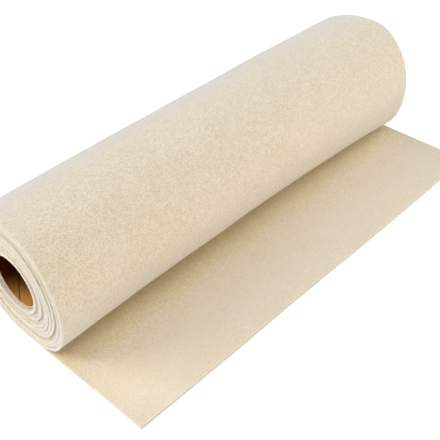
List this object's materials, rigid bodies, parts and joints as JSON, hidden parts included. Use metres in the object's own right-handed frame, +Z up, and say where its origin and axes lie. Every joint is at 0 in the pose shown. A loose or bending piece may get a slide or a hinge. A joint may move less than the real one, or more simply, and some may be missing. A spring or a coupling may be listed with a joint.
{
  "type": "roll of felt",
  "caption": "Roll of thick cream felt wound on a cardboard core, lying on its side with its loose end flat in front of it.",
  "frame": {"origin": "on the surface that the roll rests on, straight under the middle of the roll's axis", "axes": "+X along the roll, +Z up, the loose end lies in front towards -Y"},
  "size_m": [0.4534, 0.2058, 0.1255],
  "materials": {
    "felt": "matte pressed wool felt, cream",
    "core": "matte spiral-wound kraft cardboard"
  },
  "bodies": {
    "root": {"felt": "felt", "core": "core"}
  },
  "joints": []
}
